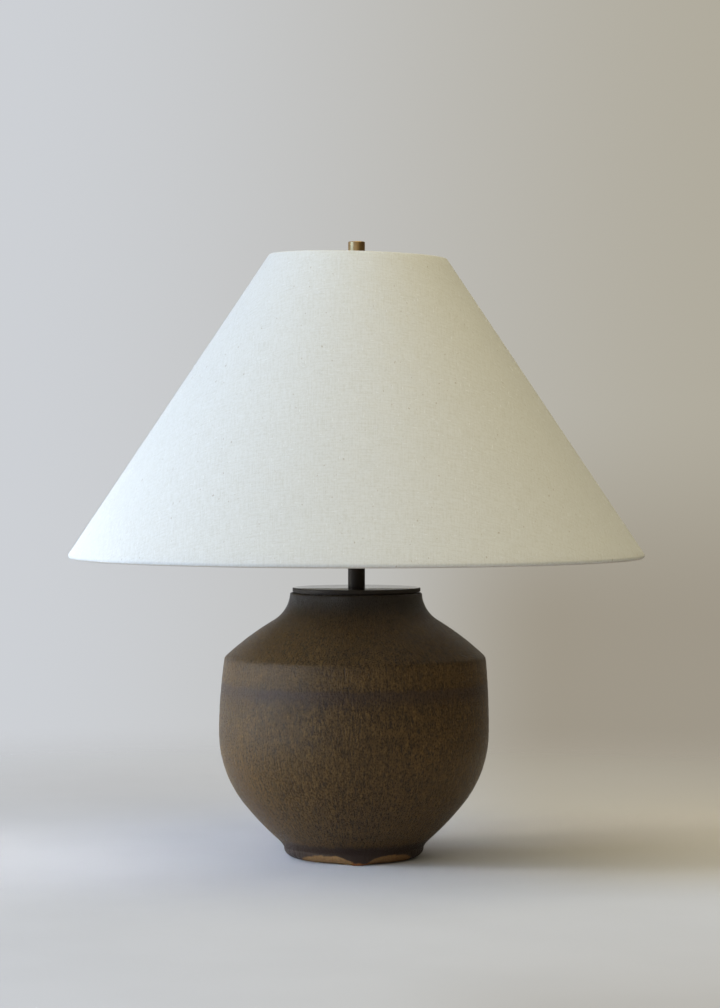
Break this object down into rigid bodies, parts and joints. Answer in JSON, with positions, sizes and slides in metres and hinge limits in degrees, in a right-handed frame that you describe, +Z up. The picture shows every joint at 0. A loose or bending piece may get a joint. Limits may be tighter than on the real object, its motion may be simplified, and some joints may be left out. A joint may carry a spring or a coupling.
{
  "type": "table lamp",
  "caption": "Table lamp with a round-shouldered stoneware pot, dark metal cap and stem, a conical linen shade on a wire harp, and a plain brass finial.",
  "frame": {"origin": "on the table, at the centre of the foot", "axes": "+Z up along the lamp's axis, -Y to the front, +Y to the cord inlet, +X to the switch"},
  "size_m": [0.508, 0.508, 0.544],
  "materials": {
    "stoneware_glaze": "satin brown glaze over stoneware, bare clay at the foot",
    "dark_bronze": "dark bronze patina",
    "aged_brass": "brushed aged brass",
    "polished_brass": "bright spun brass",
    "zinc_steel": "zinc plated",
    "harp_nickel": "nickel plated",
    "linen": "off-white slub linen",
    "shade_liner_white": "translucent white sheet",
    "ring_enamel": "white enamel",
    "bulb_glass": "frosted white",
    "bulb_aluminium": "rolled",
    "black_glass": "black vitrite",
    "phenolic_black": "moulded black phenolic",
    "fibre_board": "pressed fibre",
    "black_rubber": "soft black"
  },
  "bodies": {
    "base": {"pot_body": "stoneware_glaze", "cord_grommet": "black_rubber", "vase_cap": "dark_bronze", "clamp_bar": "zinc_steel", "threaded_pipe": "zinc_steel", "pipe_lock_washer": "zinc_steel", "pipe_nut": "zinc_steel", "stem": "dark_bronze", "harp_saddle": "harp_nickel", "saddle_nut": "zinc_steel", "harp_bow": "harp_nickel", "holder_cap": "polished_brass", "holder_set_screw": "zinc_steel", "holder_shell": "polished_brass", "holder_liner": "fibre_board", "holder_body": "phenolic_black", "screw_shell": "polished_brass", "centre_contact": "polished_brass", "terminal_screws": "polished_brass"},
    "shade": {"shade_cover": "linen", "shade_liner": "shade_liner_white", "shade_top_ring": "ring_enamel", "shade_bottom_ring": "ring_enamel", "spider_arms": "ring_enamel", "fitter_washer": "ring_enamel", "harp_stud": "harp_nickel"},
    "finial": {"finial": "aged_brass"},
    "switch": {"switch_shaft": "zinc_steel", "switch_knob": "phenolic_black"},
    "bulb": {"bulb_globe": "bulb_glass", "bulb_base": "bulb_aluminium", "bulb_insulator": "black_glass", "bulb_button": "bulb_aluminium"},
    "ferrule_front": {"harp_ferrule_front": "harp_nickel"},
    "ferrule_back": {"harp_ferrule_back": "harp_nickel"}
  },
  "joints": [
    {"name": "shade_swivel", "type": "hinge", "parent": "base", "child": "shade", "pos_m": [0, 0, 0.517], "axis": [0, 0, 1], "continuous": true},
    {"name": "finial_turn", "type": "hinge", "parent": "shade", "child": "finial", "pos_m": [0, 0, 0.5186], "axis": [0, 0, 1], "continuous": true},
    {"name": "switch_turn", "type": "hinge", "parent": "base", "child": "switch", "pos_m": [0.0222, 0, 0.3223], "axis": [1, 0, 0], "continuous": true},
    {"name": "bulb_turn", "type": "hinge", "parent": "base", "child": "bulb", "pos_m": [0, 0, 0.3376], "axis": [0, 0, 1], "continuous": true},
    {"name": "ferrule_front_slide", "type": "slide", "parent": "base", "child": "ferrule_front", "axis": [0, 0, 1], "range_m": [0, 0.012]},
    {"name": "ferrule_back_slide", "type": "slide", "parent": "base", "child": "ferrule_back", "axis": [0, 0, 1], "range_m": [0, 0.012]}
  ]
}
